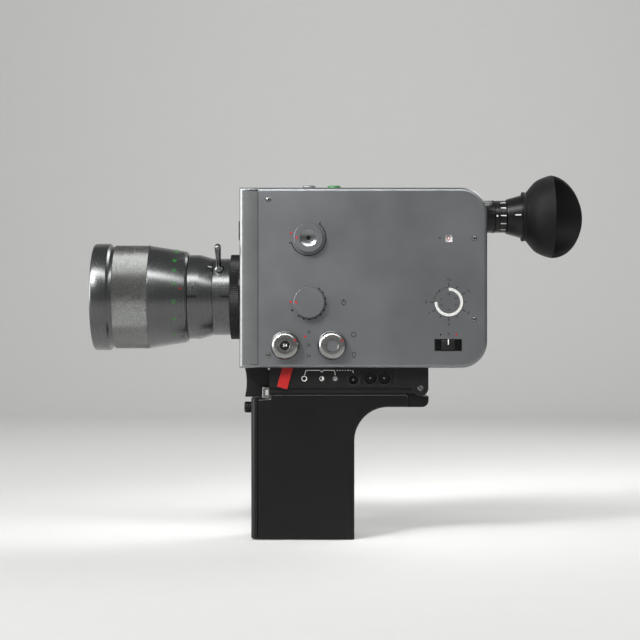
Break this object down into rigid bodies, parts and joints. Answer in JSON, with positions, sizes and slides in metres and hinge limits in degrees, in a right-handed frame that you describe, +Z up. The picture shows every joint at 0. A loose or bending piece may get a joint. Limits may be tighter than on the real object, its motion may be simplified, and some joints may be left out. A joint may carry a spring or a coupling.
{
  "type": "film camera",
  "caption": "Hand-held cartridge film camera: slim metal body with zoom lens, finder eyepiece and rubber cup, side film door and a fold-back pistol grip.",
  "frame": {"origin": "middle of the grip's lower face, on which the camera stands", "axes": "-X along the lens, -Y out of the control side, +Z up"},
  "size_m": [0.3039, 0.0663, 0.2227],
  "materials": {
    "silver_cover": "satin painted, fine grain",
    "cast_frame": "satin cast",
    "lens_silver": "satin anodised, diamond knurl",
    "knob_silver": "turned",
    "bright_steel": "bright",
    "black_ribbed": "black anodised, fine ribs",
    "black_plastic": "fine grain",
    "grip_black": "fine leather-like grain",
    "cup_rubber": "matt",
    "clear_glass": "clear",
    "coated_glass": "coated",
    "red_tab": "satin",
    "green_button": "satin",
    "grey_button": "satin",
    "dial_white": "printed",
    "brass_gear": "machined",
    "board_green": "laminate",
    "cell_sleeve": "printed sleeve"
  },
  "bodies": {
    "camera_body": {"body_frame": "cast_frame", "control_cover": "silver_cover", "cover_screws": "bright_steel", "front_cap": "silver_cover", "front_light_window": "black_plastic", "lens_barrel": "lens_silver", "relay_cell": "black_ribbed", "finder_prism": "clear_glass", "finder_tube": "black_ribbed", "eyepiece_tube": "black_ribbed", "eyepiece_cone": "black_ribbed", "eyepiece_lens": "clear_glass", "counter_window": "clear_glass", "switch_plate": "black_plastic", "drive_motor": "cast_frame", "film_gate": "black_plastic", "control_board": "board_green", "door_hinge_pin": "bright_steel", "base_rail": "black_plastic", "remote_socket": "black_plastic", "twin_socket": "black_plastic", "socket_pins": "bright_steel", "strap_lug": "bright_steel", "grip_hinge_pin": "bright_steel"},
    "focus": {"focus_ring": "lens_silver", "front_ring": "lens_silver", "front_lens": "coated_glass"},
    "zoom": {"zoom_ring": "lens_silver", "zoom_lever": "bright_steel"},
    "macro": {"macro_ring": "black_ribbed"},
    "variator": {"variator_cell": "black_ribbed"},
    "diopter": {"diopter_ring": "black_ribbed"},
    "cup": {"eyecup": "cup_rubber"},
    "aperture": {"aperture_knob": "knob_silver"},
    "timer": {"timer_knob": "black_plastic"},
    "speed": {"speed_knob": "knob_silver"},
    "slow_button": {"slow_motion_button": "bright_steel"},
    "filter": {"filter_knob": "knob_silver"},
    "switch": {"slide_switch": "black_plastic"},
    "wide_button": {"zoom_button_wide": "grey_button"},
    "tele_button": {"zoom_button_tele": "green_button"},
    "counter": {"counter_disc": "dial_white"},
    "gauge": {"gauge_dial": "dial_white"},
    "motor": {"motor_pinion": "brass_gear"},
    "shutter": {"shutter_gear": "brass_gear", "shutter_disc": "black_ribbed"},
    "takeup": {"takeup_spindle": "black_plastic"},
    "door": {"film_door": "silver_cover", "door_window": "clear_glass"},
    "latch": {"door_latch": "bright_steel"},
    "fade": {"fade_lever": "red_tab"},
    "release": {"trigger": "black_plastic"},
    "grip": {"grip_frame": "grip_black", "grip_cover_right": "grip_black", "grip_cover_left": "grip_black", "grip_foot_plate": "grip_black", "battery_cells": "cell_sleeve", "battery_contacts": "bright_steel"},
    "strip": {"battery_door": "grip_black"},
    "lock": {"battery_door_knob": "black_ribbed"}
  },
  "joints": [
    {"name": "grip_fold", "type": "hinge", "parent": "camera_body", "child": "grip", "pos_m": [0.0714, 0, 0.0922], "axis": [0, -1, 0], "range_deg": [0, 90]},
    {"name": "focus_turn", "type": "hinge", "parent": "camera_body", "child": "focus", "pos_m": [-0.128, 0, 0.1477], "axis": [1, 0, 0], "range_deg": [-90, 110]},
    {"name": "zoom_turn", "type": "hinge", "parent": "camera_body", "child": "zoom", "pos_m": [-0.038, 0, 0.1477], "axis": [1, 0, 0], "range_deg": [-45, 45]},
    {"name": "macro_turn", "type": "hinge", "parent": "camera_body", "child": "macro", "pos_m": [-0.038, 0, 0.1477], "axis": [1, 0, 0], "range_deg": [0, 90]},
    {"name": "variator_slide", "type": "slide", "parent": "camera_body", "child": "variator", "axis": [1, 0, 0], "range_m": [-0.006, 0.006]},
    {"name": "diopter_turn", "type": "hinge", "parent": "camera_body", "child": "diopter", "pos_m": [0.1178, 0, 0.1972], "axis": [1, 0, 0], "range_deg": [-60, 60]},
    {"name": "cup_turn", "type": "hinge", "parent": "camera_body", "child": "cup", "pos_m": [0.1529, 0, 0.1972], "axis": [1, 0, 0], "continuous": true},
    {"name": "aperture_turn", "type": "hinge", "parent": "camera_body", "child": "aperture", "pos_m": [0.0035, -0.027, 0.1829], "axis": [0, -1, 0], "range_deg": [-15, 218]},
    {"name": "timer_turn", "type": "hinge", "parent": "camera_body", "child": "timer", "pos_m": [0.0038, -0.027, 0.1441], "axis": [0, -1, 0], "range_deg": [0, 235]},
    {"name": "speed_turn", "type": "hinge", "parent": "camera_body", "child": "speed", "pos_m": [-0.0105, -0.027, 0.1183], "axis": [0, -1, 0], "range_deg": [-54, 0]},
    {"name": "slow_button_push", "type": "slide", "parent": "speed", "child": "slow_button", "axis": [0, 1, 0], "range_m": [0, 0.0012], "stiffness_N_per_m": 300, "springref_m": -0.001},
    {"name": "filter_turn", "type": "hinge", "parent": "camera_body", "child": "filter", "pos_m": [0.0177, -0.027, 0.1183], "axis": [0, -1, 0], "range_deg": [-54, 0]},
    {"name": "switch_slide", "type": "slide", "parent": "camera_body", "child": "switch", "axis": [1, 0, 0], "range_m": [-0.0036, 0.0036]},
    {"name": "wide_button_push", "type": "slide", "parent": "camera_body", "child": "wide_button", "axis": [0, 0, -1], "range_m": [0, 0.0015], "stiffness_N_per_m": 400, "springref_m": -0.001},
    {"name": "tele_button_push", "type": "slide", "parent": "camera_body", "child": "tele_button", "axis": [0, 0, -1], "range_m": [0, 0.0015], "stiffness_N_per_m": 400, "springref_m": -0.001},
    {"name": "counter_turn", "type": "hinge", "parent": "camera_body", "child": "counter", "pos_m": [0.0816, 0, 0.1827], "axis": [0, -1, 0], "range_deg": [0, 300]},
    {"name": "gauge_turn", "type": "hinge", "parent": "camera_body", "child": "gauge", "pos_m": [0.088, -0.027, 0.1443], "axis": [0, -1, 0], "range_deg": [0, 270]},
    {"name": "shutter_spin", "type": "hinge", "parent": "camera_body", "child": "shutter", "pos_m": [-0.038, 0.006, 0.1357], "axis": [1, 0, 0], "continuous": true},
    {"name": "motor_spin", "type": "hinge", "parent": "camera_body", "child": "motor", "pos_m": [-0.038, 0.006, 0.12465], "axis": [1, 0, 0], "continuous": true},
    {"name": "takeup_spin", "type": "hinge", "parent": "camera_body", "child": "takeup", "pos_m": [0.0425, 0, 0.1477], "axis": [0, -1, 0], "continuous": true},
    {"name": "door_swing", "type": "hinge", "parent": "camera_body", "child": "door", "pos_m": [-0.0246, 0.025, 0.1046], "axis": [0, 0, 1], "range_deg": [0, 95]},
    {"name": "latch_turn", "type": "hinge", "parent": "door", "child": "latch", "pos_m": [0.0993, 0.027, 0.1446], "axis": [0, 1, 0], "range_deg": [0, 90]},
    {"name": "fade_swing", "type": "hinge", "parent": "camera_body", "child": "fade", "pos_m": [0.0111, -0.0195, 0.1782], "axis": [0, -1, 0], "range_deg": [0, 30]},
    {"name": "trigger_pull", "type": "slide", "parent": "camera_body", "child": "release", "axis": [1, 0, 0], "range_m": [0, 0.003], "stiffness_N_per_m": 800, "springref_m": -0.002},
    {"name": "strip_open", "type": "hinge", "parent": "grip", "child": "strip", "pos_m": [-0.0283, 0, 0.0018], "axis": [0, -1, 0], "range_deg": [0, 85]},
    {"name": "lock_turn", "type": "hinge", "parent": "strip", "child": "lock", "pos_m": [-0.0314, 0, 0.0798], "axis": [-1, 0, 0], "range_deg": [0, 90]}
  ],
  "couplings": [
    {"joint": "variator_slide", "follows": "zoom_turn", "m_per_rad": 0.0076},
    {"joint": "motor_spin", "follows": "shutter_spin", "ratio": -2.6333},
    {"joint": "takeup_spin", "follows": "shutter_spin", "ratio": 0.05}
  ]
}
